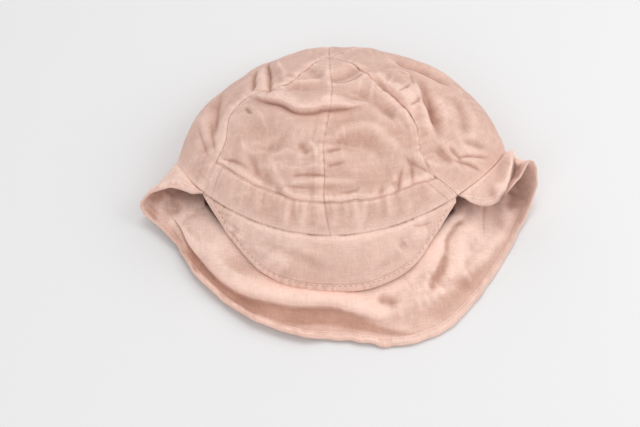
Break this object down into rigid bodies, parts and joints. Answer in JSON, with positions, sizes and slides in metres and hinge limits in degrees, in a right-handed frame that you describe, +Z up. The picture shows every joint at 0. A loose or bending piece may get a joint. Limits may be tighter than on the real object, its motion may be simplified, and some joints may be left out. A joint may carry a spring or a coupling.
{
  "type": "baby sun hat",
  "caption": "Soft cloth baby sun hat with a gored crown, gathered front band, short peak and wide neck flap, lying on its back with the flap spread below the peak.",
  "frame": {"origin": "on the table, below the middle of the hat's box as it lies", "axes": "+X to the right along the peak, as seen from the front; +Y from the peak to the crown's point; +Z up from the table"},
  "size_m": [0.2436, 0.2093, 0.0596],
  "materials": {
    "crown_cloth": "washed dusty pink linen",
    "band_cloth": "washed dusty pink linen, gathered",
    "peak_cloth": "washed dusty pink linen, stitched",
    "flap_cloth": "washed dusty pink linen, hemmed"
  },
  "bodies": {
    "root": {"crown_front_left": "crown_cloth", "crown_front_right": "crown_cloth", "crown_side_left": "crown_cloth", "crown_side_right": "crown_cloth", "crown_back_left": "crown_cloth", "crown_back_right": "crown_cloth", "band_left": "band_cloth", "band_right": "band_cloth", "peak": "peak_cloth", "neck_flap": "flap_cloth"}
  },
  "joints": []
}
